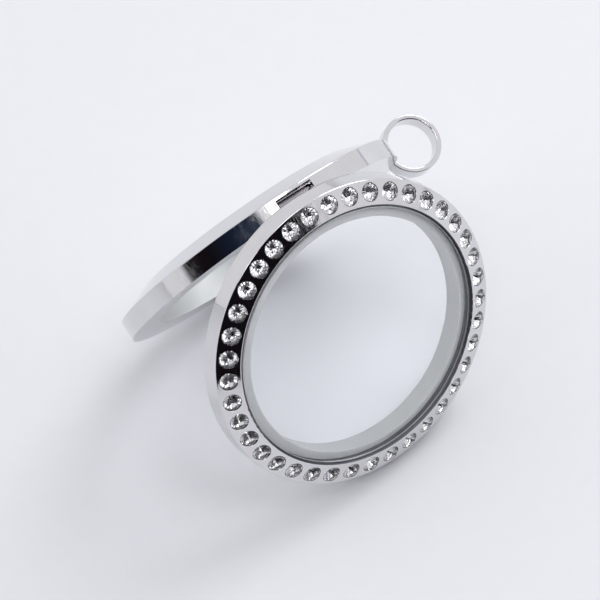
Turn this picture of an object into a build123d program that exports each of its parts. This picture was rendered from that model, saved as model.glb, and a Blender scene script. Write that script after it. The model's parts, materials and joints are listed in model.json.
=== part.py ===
from build123d import *
from math import cos, radians, sin, sqrt, tan
import os

# Hinged round glass locket, standing open on its two rims like a tent.
# It is built flat in its own frame first. X is to the right, Y is towards the hanging ring at 12
# o'clock, and Z comes out of the front window. The back case's mating face is z = 0.
# The hinge is at 9 o'clock, and the stones and the front window swing with the front ring.
# All lengths are millimetres and all angles are degrees.

# Both halves
case_radius = 15.0
wall_height = 1.92
bezel_slope = 21.5
edge_round = 0.15
closed_gap = 0.1

# Back case
back_face_width = 3.1
back_lip_width = 0.5
back_lip_thickness = 0.45

# Front ring
bezel_width = 2.29
window_ledge_width = 1.16
pane_seat_width = 0.1
recess_floor_drop = 0.5
recess_wall_lean = 0.19

# Windows
glass_thickness = 0.5
glass_clearance = 0.05
glass_recess = 0.11
glass_edge_bevel = 0.08

# Hinge
pin_inset = 1.13
pin_drop = 0.45
pin_radius = 0.28
pin_clearance = 0.03
pin_length = 7.6
knuckle_radius = 1.0
knuckle_width = 3.8
knuckle_side_gap = 0.1
knuckle_round_gap = 0.14
knuckle_neck_root = 0.5
full_opening = 48.5
sweep_clearance = 0.06
sweep_step = 7.0

# Magnets in the mating faces at 3 o'clock
magnet_radius = 0.7
magnet_height = 0.9
magnet_clearance = 0.03
magnet_recess = 0.02

# Hanging ring
bail_outer_radius = 2.88
bail_wall = 0.5
bail_width = 1.86
bail_weld_sink = 0.08
bail_drop = 0.8
bail_edge_round = 0.12

# Stones
stone_count = 39
first_stone_angle = 200.7
stone_inset = 1.08
bezel_margin = 0.289
seat_clearance = 0.03
seat_shoulder_gap = 0.05
seat_point_slope = 45.0
seat_flare = 0.03
girdle_height = 0.05
girdle_sink = 0.03
main_facets = 8
table_share = 0.57
crown_slope = 34.5
star_slope = 22.0
crown_half_slope = 41.0
pavilion_slope = 40.75
pavilion_half_slope = 42.0

# Pose at rest: fully open
rest_roll = 5.25
rest_heading = -29.3

# Sizes that follow
face_drop = tan(radians(bezel_slope))
rim_radius = case_radius - bezel_width
rim_top = wall_height + bezel_width * face_drop
front_bore_radius = rim_radius - window_ledge_width
front_ledge = rim_top - glass_recess - glass_thickness
recess_foot = front_ledge - recess_floor_drop
recess_foot_radius = rim_radius - recess_wall_lean
ledge_share = (rim_top - front_ledge) / (rim_top - recess_foot)
front_glass_room = rim_radius - recess_wall_lean * ledge_share
back_bore_radius = case_radius - back_face_width
back_lip_radius = back_bore_radius - back_lip_width
back_floor = -wall_height - (case_radius - back_lip_radius) * face_drop
back_ledge = back_floor + back_lip_thickness
pin_x = pin_inset - case_radius
pin_z = -pin_drop
hinge_axis = Axis((pin_x, 0, pin_z), (0, -1, 0))
magnet_x = case_radius - back_face_width / 2
stone_circle_radius = case_radius - stone_inset
stone_face_height = wall_height + stone_inset * face_drop
seat_radius = stone_inset / cos(radians(bezel_slope)) - bezel_margin
stone_radius = seat_radius - seat_clearance
stone_depth = girdle_height + stone_radius * tan(radians(pavilion_slope))
seat_shoulder_depth = girdle_sink + girdle_height + seat_shoulder_gap
seat_point_depth = seat_shoulder_depth + seat_radius * tan(radians(seat_point_slope))

on_base = (Align.CENTER, Align.CENTER, Align.MIN)


def ring_of(corners, rounded):
    """Turn a closed outline of (radius, height) corners, with some corners rounded, round the Z axis."""
    outline = make_face(Polyline(*[(r, 0, z) for r, z in corners], close=True)).face()
    corner_points = [outline.vertices().sort_by_distance((r, 0, z))[0] for r, z in rounded]
    outline = outline.fillet_2d(edge_round, corner_points)
    return revolve(outline, Axis.Z, 360)


def disc(radius, height, bottom):
    """A round solid on the Z axis that stands on the given height."""
    return Pos(0, 0, bottom) * Cylinder(radius, height, align=on_base)


def hinge_bar(radius, width):
    """A round bar along the hinge pin's line."""
    return Pos(pin_x, 0, pin_z) * Rot(90, 0, 0) * Cylinder(radius, width)


def opened(shape, angle):
    """Swing a piece of the front half open about the hinge pin."""
    return shape.rotate(hinge_axis, angle)


# The pin lies inside the rim, so the front ring's edge dips past the mating face as it opens.
# The back case is cut away by every place that the edge passes through, and where the cut ends, it
# stops the front ring at its full opening.
def hinge_relief():
    steps = int(full_opening // sweep_step) + 1
    angles = [full_opening * step / steps for step in range(1, steps + 1)]
    edge = disc(case_radius + sweep_clearance, wall_height, closed_gap - sweep_clearance)
    swept = opened(edge, angles[0])
    for angle in angles[1:]:
        swept = swept.fuse(opened(edge, angle))
    return swept


# The knuckle's slot is open at the mating face and through the rim.
def knuckle_slot():
    room = knuckle_radius + knuckle_round_gap
    width = knuckle_width + 2 * knuckle_side_gap
    block = Box(case_radius, width, case_radius, align=(Align.MAX, Align.CENTER, Align.MIN))
    return Pos(pin_x + room, 0, pin_z - room) * block


# Magnets, and the blind holes that open in the mating faces for them
def magnet_hole(face_height):
    depth = magnet_recess + magnet_height + magnet_clearance
    return Pos(magnet_x, 0, face_height) * Cylinder(magnet_radius + magnet_clearance, 2 * depth)


def make_magnet(face_height, inward):
    middle = face_height + inward * (magnet_recess + magnet_height / 2)
    return Pos(magnet_x, 0, middle) * Cylinder(magnet_radius, magnet_height)


# Hanging ring: a round band that stands on the case's rim at 12 o'clock
def make_bail():
    hoop = Cylinder(bail_outer_radius, bail_width) - Cylinder(bail_outer_radius - bail_wall, bail_width)
    hoop = fillet(hoop.edges().filter_by(GeomType.CIRCLE), bail_edge_round)
    middle = case_radius + bail_outer_radius - bail_weld_sink
    return Pos(0, middle, -bail_drop) * Rot(0, 90, 0) * hoop


# Back case: a ring with a conical back and a lip for the back window, and the hanging ring that is
# welded to it
def make_back_case():
    profile = [
        (back_bore_radius, 0),
        (case_radius, 0),
        (case_radius, -wall_height),
        (back_lip_radius, back_floor),
        (back_lip_radius, back_ledge),
        (back_bore_radius, back_ledge),
    ]
    body = ring_of(profile, [(case_radius, -wall_height), (back_lip_radius, back_floor)])
    body = body + make_bail()
    body = body - hinge_relief() - knuckle_slot()
    body = body - hinge_bar(pin_radius + pin_clearance, pin_length + 2 * pin_clearance)
    return body - magnet_hole(0)


# Windows: flat panes with a small bevel round both edges
def make_glass(recess_radius, ledge):
    radius = recess_radius - glass_clearance
    pane = disc(radius, glass_thickness - glass_clearance, ledge + glass_clearance / 2)
    return chamfer(pane.edges().filter_by(GeomType.CIRCLE), glass_edge_bevel)


# Stones: a round brilliant cut. A row of facets has one slope, and its reach is how far out, as a
# share of the stone's radius, its planes cross the girdle's edge.
def make_stone():
    girdle_sides = 2 * main_facets
    main_step = 360.0 / main_facets
    side_step = 360.0 / girdle_sides
    side_reach = cos(radians(side_step / 2))
    table_height = (1 - table_share) * tan(radians(crown_slope))
    table_side = table_share * cos(radians(main_step / 2))
    star_reach = table_side + table_height / tan(radians(star_slope))
    facet_rows = [
        # side, count, first angle, slope, reach
        (1, main_facets, 0.0, crown_slope, 1.0),
        (1, main_facets, main_step / 2, star_slope, star_reach),
        (1, girdle_sides, side_step / 2, crown_half_slope, side_reach),
        (-1, main_facets, 0.0, pavilion_slope, 1.0),
        (-1, girdle_sides, side_step / 2, pavilion_half_slope, side_reach),
    ]
    outline = RegularPolygon(stone_radius, girdle_sides)
    stone = Pos(0, 0, -stone_depth) * extrude(outline, stone_depth + stone_radius * table_height)
    for side, count, first_angle, slope, reach in facet_rows:
        edge_height = 0 if side > 0 else -girdle_height
        tilt = radians(slope)
        for index in range(count):
            turn = radians(first_angle + 360.0 * index / count)
            facet = Plane(
                origin=(stone_radius * reach * cos(turn), stone_radius * reach * sin(turn), edge_height),
                z_dir=(sin(tilt) * cos(turn), sin(tilt) * sin(turn), side * cos(tilt)),
            )
            stone = split(stone, facet, keep=Keep.BOTTOM)
    return stone


# A stone's place on the conical face, clockwise from the first
def stone_place(index):
    angle = first_stone_angle - 360.0 * index / stone_count
    return Rot(0, 0, angle) * Pos(stone_circle_radius, 0, stone_face_height) * Rot(0, bezel_slope, 0)


# Seat: a drilled hole with the drill's point at its floor and a flared mouth
def seat_cutter():
    profile = [
        (0, -seat_point_depth),
        (seat_radius, -seat_shoulder_depth),
        (seat_radius, -seat_flare),
        (seat_radius + 2 * seat_flare, seat_flare),
        (0, seat_flare),
    ]
    return ring_of(profile, [])


# Hinge knuckle: it stands out of the front ring's mating face
def make_knuckle():
    neck_height = pin_drop + closed_gap + knuckle_neck_root
    neck = Box(2 * knuckle_radius, knuckle_width, neck_height, align=on_base)
    return Pos(pin_x, 0, pin_z) * neck + hinge_bar(knuckle_radius, knuckle_width)


# Front ring: a conical face drilled for the stones, a recess for the front window, and the hinge
# knuckle. The pane rests on a narrow lip, and from there the recess's floor slopes down to the foot
# of its wall, which leaves a wedge below the pane for the glue.
def make_front_ring():
    profile = [
        (front_bore_radius, 0),
        (case_radius, 0),
        (case_radius, wall_height),
        (rim_radius, rim_top),
        (recess_foot_radius, recess_foot),
        (front_bore_radius + pane_seat_width, front_ledge),
        (front_bore_radius, front_ledge),
    ]
    body = ring_of(profile, [(case_radius, wall_height), (rim_radius, rim_top), (front_bore_radius, 0)])
    cutter = seat_cutter()
    body = body - [stone_place(index) * cutter for index in range(stone_count)]
    body = Pos(0, 0, closed_gap) * body + make_knuckle()
    return body - hinge_bar(pin_radius + pin_clearance, 2 * knuckle_width) - magnet_hole(closed_gap)


# Pose at rest
# The locket stands on the mating edges of both halves. The lean is the angle of the back case's
# mating face to the upright at which both edges touch one floor.
def floor_normal(lean):
    upright = cos(radians(lean))
    return Vector(-upright * cos(radians(rest_roll)), -upright * sin(radians(rest_roll)), -sin(radians(lean)))


def lowest(centre, face_normal, up):
    """How low a mating edge reaches, measured along up."""
    return up.dot(centre) - case_radius * sqrt(1 - up.dot(face_normal) ** 2)


def rest_lean():
    swing = radians(full_opening)
    lid_normal = Vector(-sin(swing), 0, cos(swing))
    arm_x = -pin_x
    arm_z = closed_gap - pin_z
    lid_centre = Vector(
        pin_x + arm_x * cos(swing) - arm_z * sin(swing),
        0,
        pin_z + arm_x * sin(swing) + arm_z * cos(swing),
    )
    case_normal = Vector(0, 0, 1)
    case_centre = Vector(0, 0, 0)
    halvings = 50
    low, high = 0.0, full_opening
    for _ in range(halvings):
        middle = (low + high) / 2
        up = floor_normal(middle)
        if lowest(lid_centre, lid_normal, up) > lowest(case_centre, case_normal, up):
            low = middle
        else:
            high = middle
    return (low + high) / 2


def floor_frame():
    """The floor's frame, written in the flat locket's frame."""
    up = floor_normal(rest_lean()).normalized()
    hinge_line = Vector(0, 1, 0)
    flat = (hinge_line - up * hinge_line.dot(up)).normalized()
    across = up.cross(flat)
    turn = radians(rest_heading)
    return Plane(origin=(0, 0, 0), x_dir=flat * cos(turn) + across * sin(turn), z_dir=up)


# The pieces, by the half that they ride on
pieces = {
    "back_case": make_back_case(),
    "back_glass": make_glass(back_bore_radius, back_ledge),
    "hinge_pin": hinge_bar(pin_radius, pin_length),
    "back_magnet": make_magnet(0, -1),
}
lid_pieces = {
    "front_ring": make_front_ring(),
    "front_glass": make_glass(front_glass_room, front_ledge + closed_gap),
    "front_magnet": make_magnet(closed_gap, 1),
}
cut_stone = make_stone()
for stone_index in range(stone_count):
    place = Pos(0, 0, closed_gap) * stone_place(stone_index) * Pos(0, 0, -girdle_sink)
    lid_pieces[f"stone_{stone_index + 1:02d}"] = place * cut_stone
for name, piece in lid_pieces.items():
    pieces[name] = opened(piece, full_opening)

floor = floor_frame()
standing = {name: floor.to_local_coords(piece) for name, piece in pieces.items()}
box = Compound([solid for piece in standing.values() for solid in piece.solids()]).bounding_box()
to_origin = Pos(-(box.min.X + box.max.X) / 2, -(box.min.Y + box.max.Y) / 2, -box.min.Z)

os.makedirs("parts", exist_ok=True)
for name, piece in standing.items():
    export_step(to_origin * piece.solid(), f"parts/{name}.step")
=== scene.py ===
import json
import math
import random

import bpy
from mathutils import Matrix, Vector


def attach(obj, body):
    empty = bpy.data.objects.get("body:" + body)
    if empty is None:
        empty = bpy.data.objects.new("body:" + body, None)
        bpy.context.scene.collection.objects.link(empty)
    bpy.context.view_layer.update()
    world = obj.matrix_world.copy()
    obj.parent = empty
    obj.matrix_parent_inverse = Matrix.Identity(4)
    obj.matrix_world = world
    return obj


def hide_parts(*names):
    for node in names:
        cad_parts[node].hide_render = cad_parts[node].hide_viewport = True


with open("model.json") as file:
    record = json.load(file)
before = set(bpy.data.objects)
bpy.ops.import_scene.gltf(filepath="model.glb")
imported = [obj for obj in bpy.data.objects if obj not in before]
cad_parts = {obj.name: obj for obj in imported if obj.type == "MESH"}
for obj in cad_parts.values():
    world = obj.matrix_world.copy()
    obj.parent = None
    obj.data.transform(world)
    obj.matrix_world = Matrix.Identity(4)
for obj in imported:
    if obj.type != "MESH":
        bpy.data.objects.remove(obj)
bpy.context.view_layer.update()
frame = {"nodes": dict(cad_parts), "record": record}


# The view: a long lens that looks down on the open locket from in front of its stone set half.
# The lens and its place were fitted to the outlines of both halves. The locket was then rolled to
# where it rests on a level table, and the camera was turned with it.
scene = bpy.context.scene
frame_pixels = 600
focal_pixels = 5316.0
sensor_width = 36.0
nearest_shown = 0.01
camera_place = Vector((-0.000345, -0.27373, 0.42452))
camera_elevation = 56.53
camera_roll = -10.5

camera_data = bpy.data.cameras.new("camera")
camera_data.sensor_width = sensor_width
camera_data.lens = focal_pixels / frame_pixels * sensor_width
camera_data.clip_start = nearest_shown
camera = bpy.data.objects.new("camera", camera_data)
scene.collection.objects.link(camera)
tilt = Matrix.Rotation(math.radians(90.0 - camera_elevation), 4, "X")
roll = Matrix.Rotation(math.radians(camera_roll), 4, "Z")
camera.matrix_world = Matrix.Translation(camera_place) @ tilt @ roll
scene.camera = camera
scene.view_settings.view_transform = "Standard"


# The table: a sheet of matt white paper board that the locket stands on. Its pulp lies in clumps,
# which give a very faint mottle, and otherwise only the locket's soft shadow shows on it.
def linear(hex_colour):
    """An sRGB hex colour as linear red, green, blue and alpha."""
    values = [int(hex_colour[i:i + 2], 16) / 255 for i in (1, 3, 5)]
    return [v / 12.92 if v <= 0.04045 else ((v + 0.055) / 1.055) ** 2.4 for v in values] + [1.0]


def add_node(tree, kind, settings=None, links=None):
    """A shader node with its settings and links, each named by a property or by a socket."""
    node = tree.nodes.new(kind)
    for name, value in (settings or {}).items():
        if isinstance(name, str) and hasattr(node, name):
            setattr(node, name, value)
        else:
            node.inputs[name].default_value = value
    for name, source in (links or {}).items():
        tree.links.new(source, node.inputs[name])
    return node


def new_material(name):
    """A material with an empty node tree and its output node."""
    material = bpy.data.materials.new(name)
    material.use_nodes = True
    material.node_tree.nodes.clear()
    return material, material.node_tree, material.node_tree.nodes.new("ShaderNodeOutputMaterial")


# The board reaches 2 m each way, past the picture's edge. A clump of pulp is about 2 mm wide.
millimetre = 0.001
board_half = 2.0
pulp_clump = 2.0
board_white, tree, output = new_material("paper_board_matt")
place = add_node(tree, "ShaderNodeTexCoord")
mottle = add_node(tree, "ShaderNodeTexNoise", {
    "Scale": 1.0 / (pulp_clump * millimetre),
    "Detail": 4.0,
}, {"Vector": place.outputs["Object"]})
board_colour = add_node(tree, "ShaderNodeMix", {
    "data_type": "RGBA",
    6: linear("#F0F1F5"),
    7: linear("#F3F4F8"),
}, {"Factor": mottle.outputs["Fac"]})
board_shader = add_node(tree, "ShaderNodeBsdfPrincipled", {
    "Roughness": 0.9,
    "Specular IOR Level": 0.2,
}, {"Base Color": board_colour.outputs[2]})
tree.links.new(board_shader.outputs["BSDF"], output.inputs["Surface"])

board_corners = [
    (-board_half, -board_half, 0.0),
    (board_half, -board_half, 0.0),
    (board_half, board_half, 0.0),
    (-board_half, board_half, 0.0),
]
board_mesh = bpy.data.meshes.new("board")
board_mesh.from_pydata(board_corners, [], [(0, 1, 2, 3)])
board_mesh.materials.append(board_white)
board = bpy.data.objects.new("board", board_mesh)
scene.collection.objects.link(board)

# The light: a white studio with two soft lamps at the right and one just above the lens, whose
# light the stones send back. Low on the camera's side the room is dark, brown below and blue above,
# and the polished steel shows that as its black reflections.
dark_azimuth = math.radians(-176.0)
dark_elevation = math.radians(17.0)
dark_radius = math.radians(54.2)
dark_edge = math.radians(1.0)
blue_starts = math.radians(40.0)
blue_is_full = math.radians(68.0)
studio_brightness = 0.905
dark_middle = Vector((
    math.sin(dark_azimuth) * math.cos(dark_elevation),
    math.cos(dark_azimuth) * math.cos(dark_elevation),
    math.sin(dark_elevation),
))
world = bpy.data.worlds.new("studio")
scene.world = world
world.use_nodes = True
tree = world.node_tree
tree.nodes.clear()
direction = add_node(tree, "ShaderNodeTexCoord")
toward_dark = add_node(tree, "ShaderNodeVectorMath", {"operation": "DOT_PRODUCT", 1: dark_middle}, {
    0: direction.outputs["Generated"],
})
in_dark = add_node(tree, "ShaderNodeMapRange", {
    "From Min": math.cos(dark_radius + dark_edge),
    "From Max": math.cos(dark_radius - dark_edge),
}, {"Value": toward_dark.outputs["Value"]})
height = add_node(tree, "ShaderNodeSeparateXYZ", links={"Vector": direction.outputs["Generated"]})
how_high = add_node(tree, "ShaderNodeMapRange", {
    "From Min": math.sin(blue_starts),
    "From Max": math.sin(blue_is_full),
}, {"Value": height.outputs["Z"]})
dark_colour = add_node(tree, "ShaderNodeMix", {
    "data_type": "RGBA",
    6: linear("#161216"),
    7: linear("#1C2A40"),
}, {"Factor": how_high.outputs["Result"]})
studio_colour = add_node(tree, "ShaderNodeMix", {"data_type": "RGBA", 6: linear("#F9FAFD")}, {
    "Factor": in_dark.outputs["Result"],
    7: dark_colour.outputs[2],
})
background = add_node(tree, "ShaderNodeBackground", {"Strength": studio_brightness}, {
    "Color": studio_colour.outputs[2],
})
output = tree.nodes.new("ShaderNodeOutputWorld")
tree.links.new(background.outputs["Background"], output.inputs["Surface"])

lamps_aim = Vector((0.0, 0.0, 0.01))
lamps = [
    # name, azimuth, elevation, distance and width in metres, brightness next to the white studio
    ("key_lamp", 50.0, 44.0, 0.5, 0.28, 3.7),
    ("side_lamp", 124.0, 67.0, 0.52, 0.17, 2.4),
    ("lens_lamp", 180.0, 58.0, 0.62, 0.19, 3.2),
]
for name, azimuth, elevation, distance, width, brightness in lamps:
    # A lit disc gives pi watts for each square metre of it and each unit of its brightness.
    disc_area = math.pi * (width / 2) ** 2
    lamp_data = bpy.data.lights.new(name, "AREA")
    lamp_data.shape = "DISK"
    lamp_data.size = width
    lamp_data.energy = math.pi * disc_area * brightness
    lamp = bpy.data.objects.new(name, lamp_data)
    scene.collection.objects.link(lamp)
    flat_distance = distance * math.cos(math.radians(elevation))
    lamp.location = (
        flat_distance * math.sin(math.radians(azimuth)),
        flat_distance * math.cos(math.radians(azimuth)),
        distance * math.sin(math.radians(elevation)),
    )
    lamp.rotation_mode = "QUATERNION"
    lamp.rotation_quaternion = (lamps_aim - lamp.location).to_track_quat("-Z", "Y")

# The back case and the hinge pin: stainless steel 304, turned and mirror polished, with the hanging
# ring welded to the case. Polishing leaves hairlines and a faint haze, so the reflections are sharp
# but not perfect. The recess for the window is left as turned, with a satin look.
hinge = frame["record"]["behaviour"]["joints"][0]
hinge_place = Vector(hinge["pos_m"])
up_the_case = -Vector(hinge["axis"])
across_the_case = Vector(frame["record"]["mounts"][0]["axis"])

# Sizes are in millimetres from here on. The pin lies inside the case's outline and below the mating
# face.
case_radius = 15.0
pin_inset = 1.13
pin_drop = 0.45


def half_frame(swing):
    """A half's own frame: X to 3 o'clock, Y to 12 o'clock, Z out of the front window."""
    toward_front = across_the_case.cross(up_the_case)
    x_axis = across_the_case * math.cos(swing) + toward_front * math.sin(swing)
    z_axis = toward_front * math.cos(swing) - across_the_case * math.sin(swing)
    pin_to_axis = (case_radius - pin_inset) * millimetre
    origin = hinge_place + x_axis * pin_to_axis + z_axis * pin_drop * millimetre
    turn = Matrix((x_axis, up_the_case, z_axis)).transposed()
    return Matrix.Translation(origin) @ turn.to_4x4()


def place_in_half(tree, half):
    """A surface point in a half's own frame, in millimetres, and how far it is from the axis."""
    place = add_node(tree, "ShaderNodeTexCoord")
    local = add_node(tree, "ShaderNodeMapping", {
        "vector_type": "TEXTURE",
        "Location": half.translation,
        "Rotation": half.to_euler(),
        "Scale": (millimetre, millimetre, millimetre),
    }, {"Vector": place.outputs["Object"]})
    flat = add_node(tree, "ShaderNodeVectorMath", {"operation": "MULTIPLY", 1: (1.0, 1.0, 0.0)}, {
        0: local.outputs["Vector"],
    })
    radius = add_node(tree, "ShaderNodeVectorMath", {"operation": "LENGTH"}, {
        0: flat.outputs["Vector"],
    })
    return local.outputs["Vector"], radius.outputs["Value"]


def dress(names, material):
    """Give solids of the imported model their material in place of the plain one."""
    for name in names:
        materials = frame["nodes"][name].data.materials
        materials.clear()
        materials.append(material)


# A finishing cut leaves about 20 grooves in a millimetre, and a polishing mop leaves hairlines a few
# thousandths of a millimetre wide and some millimetres long. Both are too fine to show, so fewer and
# wider ones are drawn. The haze lies in clouds that are nearly 2 mm wide.
grooves_per_mm = 9.0
hairlines_per_mm_along = 0.35
hairlines_per_mm_across = {25.0: 9.0, 110.0: 7.0}  # by the heading in degrees
hairline_tilt = 35.0
hairline_middle = 0.5
hairline_half_width = 0.015
hairline_roughness = 0.05
haze_clouds_per_mm = 0.55
haze_levels = (0.3, 0.75)
polished_roughness = (0.02, 0.055)
satin_roughness = (0.42, 0.58)
mark_depth = 0.004
mark_strength = 0.15


def turned_steel(name, half, recess_radius, recess_range, glue_radii, wall_radius):
    """Polished steel with a satin recess round the half's own axis and painted shade on the recess's
    wall, sizes in millimetres.
    """
    material, tree, output = new_material(name)
    local, radius = place_in_half(tree, half)
    apart = add_node(tree, "ShaderNodeSeparateXYZ", links={"Vector": local})

    # The satin zone lies inside the recess's wall and between its floor and its mouth.
    inside = add_node(tree, "ShaderNodeMath", {"operation": "LESS_THAN", 1: recess_radius}, {
        0: radius,
    })
    above = add_node(tree, "ShaderNodeMath", {"operation": "GREATER_THAN", 1: recess_range[0]}, {
        0: apart.outputs["Z"],
    })
    below = add_node(tree, "ShaderNodeMath", {"operation": "LESS_THAN", 1: recess_range[1]}, {
        0: apart.outputs["Z"],
    })
    between = add_node(tree, "ShaderNodeMath", {"operation": "MULTIPLY"}, {
        0: above.outputs["Value"],
        1: below.outputs["Value"],
    })
    recess = add_node(tree, "ShaderNodeMath", {"operation": "MULTIPLY"}, {
        0: inside.outputs["Value"],
        1: between.outputs["Value"],
    })

    # The ledge below the pane is under cured glue, which is pale and matt and isn't a metal.
    off_bore = add_node(tree, "ShaderNodeMath", {"operation": "GREATER_THAN", 1: glue_radii[0]}, {
        0: radius,
    })
    off_wall = add_node(tree, "ShaderNodeMath", {"operation": "LESS_THAN", 1: glue_radii[1]}, {
        0: radius,
    })
    on_ledge = add_node(tree, "ShaderNodeMath", {"operation": "MULTIPLY"}, {
        0: off_bore.outputs["Value"],
        1: off_wall.outputs["Value"],
    })
    glue = add_node(tree, "ShaderNodeMath", {"operation": "MULTIPLY"}, {
        0: on_ledge.outputs["Value"],
        1: recess.outputs["Value"],
    })
    bare = add_node(tree, "ShaderNodeMath", {"operation": "SUBTRACT", 0: 1.0}, {
        1: glue.outputs["Value"],
    })

    # The recess's wall is darker: painted shade, a dark grey that stands in for the shade in the
    # deep groove.
    on_wall = add_node(tree, "ShaderNodeMath", {"operation": "GREATER_THAN", 1: wall_radius}, {
        0: radius,
    })

    # The grooves run round the axis, so they are drawn in radius and height alone.
    round_the_axis = add_node(tree, "ShaderNodeCombineXYZ", links={
        "X": radius,
        "Y": apart.outputs["Z"],
    })
    tool_marks = add_node(tree, "ShaderNodeTexNoise", {
        "Scale": grooves_per_mm,
        "Detail": 3.0,
        "Roughness": 0.7,
    }, {"Vector": round_the_axis.outputs["Vector"]})

    # The hairlines are narrow bands of a noise that is stretched in two directions.
    hairlines = []
    for heading, across in hairlines_per_mm_across.items():
        turned = add_node(tree, "ShaderNodeMapping", {
            "Rotation": (0.0, math.radians(hairline_tilt), math.radians(heading)),
            "Scale": (hairlines_per_mm_along, across, hairlines_per_mm_along),
        }, {"Vector": local})
        noise = add_node(tree, "ShaderNodeTexNoise", {"Scale": 1.0, "Detail": 2.0}, {
            "Vector": turned.outputs["Vector"],
        })
        line = add_node(tree, "ShaderNodeValToRGB", links={"Fac": noise.outputs["Fac"]})
        line.color_ramp.elements[0].position = hairline_middle - hairline_half_width
        line.color_ramp.elements[0].color = (0.0, 0.0, 0.0, 1.0)
        line.color_ramp.elements[1].position = hairline_middle + hairline_half_width
        line.color_ramp.elements[1].color = (0.0, 0.0, 0.0, 1.0)
        line.color_ramp.elements.new(hairline_middle).color = (1.0, 1.0, 1.0, 1.0)
        hairlines.append(line)
    scratched = add_node(tree, "ShaderNodeMath", {"operation": "MAXIMUM"}, {
        0: hairlines[0].outputs["Color"],
        1: hairlines[1].outputs["Color"],
    })

    haze = add_node(tree, "ShaderNodeTexNoise", {"Scale": haze_clouds_per_mm, "Detail": 3.0}, {
        "Vector": local,
    })
    polished_haze = add_node(tree, "ShaderNodeMapRange", {
        "From Min": haze_levels[0],
        "From Max": haze_levels[1],
        "To Min": polished_roughness[0],
        "To Max": polished_roughness[1],
    }, {"Value": haze.outputs["Fac"]})
    polished = add_node(tree, "ShaderNodeMath", {
        "operation": "MULTIPLY_ADD",
        1: hairline_roughness,
    }, {0: scratched.outputs["Value"], 2: polished_haze.outputs["Result"]})
    satin = add_node(tree, "ShaderNodeMapRange", {
        "To Min": satin_roughness[0],
        "To Max": satin_roughness[1],
    }, {"Value": tool_marks.outputs["Fac"]})
    roughness = add_node(tree, "ShaderNodeMix", links={
        "Factor": recess.outputs["Value"],
        "A": polished.outputs["Value"],
        "B": satin.outputs["Result"],
    })

    bright = add_node(tree, "ShaderNodeMix", {
        "data_type": "RGBA",
        6: linear("#E0DEE0"),
        7: linear("#D6D4D6"),
    }, {"Factor": haze.outputs["Fac"]})
    dull = add_node(tree, "ShaderNodeMix", {
        "data_type": "RGBA",
        6: linear("#CACCCB"),
        7: linear("#D3D5D4"),
    }, {"Factor": tool_marks.outputs["Fac"]})
    # Painted shade: the dark grey colour of the recess's wall.
    painted_wall_shade = add_node(tree, "ShaderNodeMix", {
        "data_type": "RGBA",
        6: linear("#585961"),
        7: linear("#6C6D75"),
    }, {"Factor": haze.outputs["Fac"]})
    cured = add_node(tree, "ShaderNodeMix", {
        "data_type": "RGBA",
        6: linear("#E9EAEB"),
        7: linear("#F0F1F1"),
    }, {"Factor": haze.outputs["Fac"]})
    # The satin colour of the recess, with the painted shade on its wall.
    satin_and_painted_shade = add_node(tree, "ShaderNodeMix", {"data_type": "RGBA"}, {
        "Factor": on_wall.outputs["Value"],
        6: dull.outputs[2],
        7: painted_wall_shade.outputs[2],
    })
    in_recess = add_node(tree, "ShaderNodeMix", {"data_type": "RGBA"}, {
        "Factor": glue.outputs["Value"],
        6: satin_and_painted_shade.outputs[2],
        7: cured.outputs[2],
    })
    colour = add_node(tree, "ShaderNodeMix", {"data_type": "RGBA"}, {
        "Factor": recess.outputs["Value"],
        6: bright.outputs[2],
        7: in_recess.outputs[2],
    })

    marks_height = add_node(tree, "ShaderNodeMix", links={
        "Factor": recess.outputs["Value"],
        "A": scratched.outputs["Value"],
        "B": tool_marks.outputs["Fac"],
    })
    marks = add_node(tree, "ShaderNodeBump", {
        "Strength": mark_strength,
        "Distance": mark_depth * millimetre,
    }, {"Height": marks_height.outputs["Result"]})
    shader = add_node(tree, "ShaderNodeBsdfPrincipled", links={
        "Metallic": bare.outputs["Value"],
        "Base Color": colour.outputs[2],
        "Roughness": roughness.outputs["Result"],
        "Normal": marks.outputs["Normal"],
    })
    tree.links.new(shader.outputs["BSDF"], output.inputs["Surface"])
    return material


# The satin zone takes in the bore's wall and the ledge, and the glue stops just short of the ledge's
# edges. This half's wall gets no painted shade, so its painted shade zone starts outside the satin
# one.
edge_margin = 0.02
wall_margin = 0.03
back_bore_radius = 11.9
back_lip_radius = 11.4
back_ledge = -2.888
back_half = half_frame(0.0)
back_steel = turned_steel(
    "stainless_304_polished_back_case",
    back_half,
    recess_radius=back_bore_radius + wall_margin,
    recess_range=(back_ledge - edge_margin, -edge_margin),
    glue_radii=(back_lip_radius + edge_margin, back_bore_radius - edge_margin),
    wall_radius=back_bore_radius + wall_margin,
)
dress(["back_case", "hinge_pin"], back_steel)

# The front ring: the same steel, turned, drilled for the stones and mirror polished. The recess for
# the window is left as turned, with pale cured glue on its sloping floor and painted shade on its
# wall, so a light band and a dark one run round the pane.
opening = math.radians(48.5)
front_recess_radius = 12.79
recess_foot_radius = 12.52
front_bore_radius = 11.55

# The satin zone starts a little way up the bore, clear of the mating face, and ends above the ring.
satin_starts = 0.3
satin_ends = 5.0
front_half = half_frame(opening)
front_steel = turned_steel(
    "stainless_304_polished_front_ring",
    front_half,
    recess_radius=front_recess_radius,
    recess_range=(satin_starts, satin_ends),
    glue_radii=(front_bore_radius + edge_margin, recess_foot_radius - edge_margin),
    # The painted shade on the wall starts at the foot of the recess.
    wall_radius=recess_foot_radius - edge_margin,
)
dress(["front_ring"], front_steel)

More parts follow.
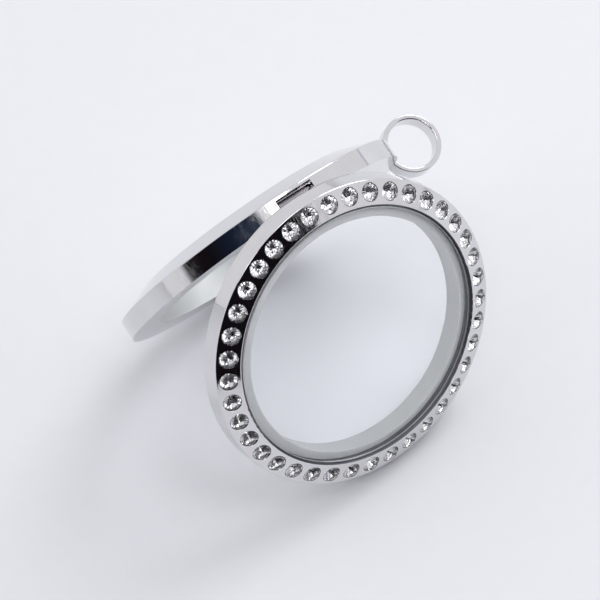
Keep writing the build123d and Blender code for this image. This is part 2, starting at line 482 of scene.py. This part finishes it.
# The magnets: sintered neodymium discs with nickel plate, pressed flush into the mating faces at
# 3 o'clock. The plate follows the grain below it, so it is bright but slightly pebbled and warm.
# The real grain is about 0.01 mm. It is drawn 0.12 mm wide, because it can't show otherwise.
grain_width = 0.12
pebble_depth = 0.01
pebble_strength = 0.3
nickel_roughness_range = (0.18, 0.3)
nickel, tree, output = new_material("nickel_plate_on_sintered_magnet")
place = add_node(tree, "ShaderNodeTexCoord")
grain = add_node(tree, "ShaderNodeTexVoronoi", {"Scale": 1.0 / (grain_width * millimetre)}, {
    "Vector": place.outputs["Object"],
})
nickel_roughness = add_node(tree, "ShaderNodeMapRange", {
    "To Min": nickel_roughness_range[0],
    "To Max": nickel_roughness_range[1],
}, {"Value": grain.outputs["Distance"]})
pebbles = add_node(tree, "ShaderNodeBump", {
    "Strength": pebble_strength,
    "Distance": pebble_depth * millimetre,
}, {"Height": grain.outputs["Distance"]})
nickel_shader = add_node(tree, "ShaderNodeBsdfPrincipled", {
    "Base Color": linear("#C6C2B8"),
    "Metallic": 1.0,
}, {"Roughness": nickel_roughness.outputs["Result"], "Normal": pebbles.outputs["Normal"]})
tree.links.new(nickel_shader.outputs["BSDF"], output.inputs["Surface"])
dress(["back_magnet", "front_magnet"], nickel)

# The windows: flat panes of clear float glass, cut round, ground matt at the edge and glued into
# the recesses. A cloth leaves a trace of haze in streaks some 3 mm wide, so the faces are clear but
# not perfect, and lamp light passes through them to what is below.
panes = [("back_glass", back_half, 11.85), ("front_glass", front_half, 12.556)]
ground_width = 0.09
ground_roughness = 0.4
streaks_per_mm = 0.3
streak_levels = (0.5, 0.8)
streak_roughness = 0.02
for name, half, pane_radius in panes:
    glass, tree, output = new_material(f"soda_lime_float_{name}")
    local, radius = place_in_half(tree, half)
    ground_edge = add_node(tree, "ShaderNodeMapRange", {
        "From Min": pane_radius - ground_width,
        "From Max": pane_radius - ground_width / 2,
        "To Min": 0.0,
        "To Max": ground_roughness,
    }, {"Value": radius})
    wiped = add_node(tree, "ShaderNodeTexNoise", {
        "Scale": streaks_per_mm,
        "Detail": 4.0,
        "Distortion": 1.5,
    }, {"Vector": local})
    trace = add_node(tree, "ShaderNodeMapRange", {
        "From Min": streak_levels[0],
        "From Max": streak_levels[1],
        "To Min": 0.0,
        "To Max": streak_roughness,
    }, {"Value": wiped.outputs["Fac"]})
    roughness = add_node(tree, "ShaderNodeMath", {"operation": "ADD"}, {
        0: ground_edge.outputs["Result"],
        1: trace.outputs["Result"],
    })
    clear = add_node(tree, "ShaderNodeBsdfPrincipled", {
        "Base Color": linear("#FCFDFE"),
        "IOR": 1.52,
        "Transmission Weight": 1.0,
    }, {"Roughness": roughness.outputs["Value"]})
    lamp_ray = add_node(tree, "ShaderNodeLightPath")
    passing = add_node(tree, "ShaderNodeBsdfTransparent", {"Color": linear("#F8F9FB")})
    pane = add_node(tree, "ShaderNodeMixShader", links={
        0: lamp_ray.outputs["Is Shadow Ray"],
        1: clear.outputs["BSDF"],
        2: passing.outputs["BSDF"],
    })
    tree.links.new(pane.outputs["Shader"], output.inputs["Surface"])
    dress([name], glass)

# The stones: round cut lead crystal with a silver mirror foil on the pointed back, pushed into
# drilled seats and glued. Light goes in through the crown and comes back from the foil, so each
# stone is white and black by turns.
ripple_width = 0.4
crystal_roughness_range = (0.02, 0.07)
tarnish_clouds_per_mm = 0.9
foil_roughness_range = (0.06, 0.16)

# Fire polish leaves ripples about 0.4 mm wide, so the facets' reflections break up a little.
crystal, tree, output = new_material("lead_crystal_cut_and_fire_polished")
place = add_node(tree, "ShaderNodeTexCoord")
polish = add_node(tree, "ShaderNodeTexNoise", {
    "Scale": 1.0 / (ripple_width * millimetre),
    "Detail": 2.0,
}, {"Vector": place.outputs["Object"]})
crystal_roughness = add_node(tree, "ShaderNodeMapRange", {
    "To Min": crystal_roughness_range[0],
    "To Max": crystal_roughness_range[1],
}, {"Value": polish.outputs["Fac"]})
crystal_shader = add_node(tree, "ShaderNodeBsdfPrincipled", {
    "Base Color": linear("#FFFFFF"),
    "IOR": 1.56,
    "Transmission Weight": 1.0,
}, {"Roughness": crystal_roughness.outputs["Result"]})
tree.links.new(crystal_shader.outputs["BSDF"], output.inputs["Surface"])

# The foil tarnishes in clouds about 1 mm wide, so some stones look a little greyer than others.
foil, tree, output = new_material("silver_mirror_foil")
place = add_node(tree, "ShaderNodeTexCoord")
tarnish = add_node(tree, "ShaderNodeTexNoise", {
    "Scale": tarnish_clouds_per_mm / millimetre,
    "Detail": 3.0,
}, {"Vector": place.outputs["Object"]})
foil_colour = add_node(tree, "ShaderNodeMix", {
    "data_type": "RGBA",
    6: linear("#F3F3F5"),
    7: linear("#E4E2E4"),
}, {"Factor": tarnish.outputs["Fac"]})
foil_roughness = add_node(tree, "ShaderNodeMapRange", {
    "To Min": foil_roughness_range[0],
    "To Max": foil_roughness_range[1],
}, {"Value": tarnish.outputs["Fac"]})
foil_shader = add_node(tree, "ShaderNodeBsdfPrincipled", {"Metallic": 1.0}, {
    "Base Color": foil_colour.outputs[2],
    "Roughness": foil_roughness.outputs["Result"],
})
tree.links.new(foil_shader.outputs["BSDF"], output.inputs["Surface"])

# A stone stands square to the ring's sloping face. Its facets that look back are the foiled ones.
face_slope = math.radians(21.5)
largest_lean = math.radians(1.2)
foiled_below = -0.3
front_axis = front_half.to_3x3().col[2]
front_centre = front_half.translation
setting = random.Random(39)
for name, node in sorted(frame["nodes"].items()):
    if not name.startswith("stone_"):
        continue
    mesh = node.data.copy()
    mesh.materials.clear()
    mesh.materials.append(crystal)
    mesh.materials.append(foil)
    middle = sum((vertex.co for vertex in mesh.vertices), Vector()) / len(mesh.vertices)
    outward = middle - front_centre
    outward = (outward - front_axis * outward.dot(front_axis)).normalized()
    stone_axis = front_axis * math.cos(face_slope) + outward * math.sin(face_slope)
    for face in mesh.polygons:
        if face.normal.dot(stone_axis) < foiled_below:
            face.material_index = 1
    # Each stone is pushed in by hand, so its facets point their own way and it leans a little.
    spin = Matrix.Rotation(setting.uniform(0.0, math.tau), 4, stone_axis)
    lean_about = stone_axis.cross(outward)
    lean_about.rotate(Matrix.Rotation(setting.uniform(0.0, math.tau), 3, stone_axis))
    lean = Matrix.Rotation(setting.uniform(0.0, largest_lean), 4, lean_about)
    mesh.transform(Matrix.Translation(middle) @ lean @ spin @ Matrix.Translation(-middle))
    stone = bpy.data.objects.new(f"foiled_{name}", mesh)
    scene.collection.objects.link(stone)
    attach(stone, "lid")
    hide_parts(name)
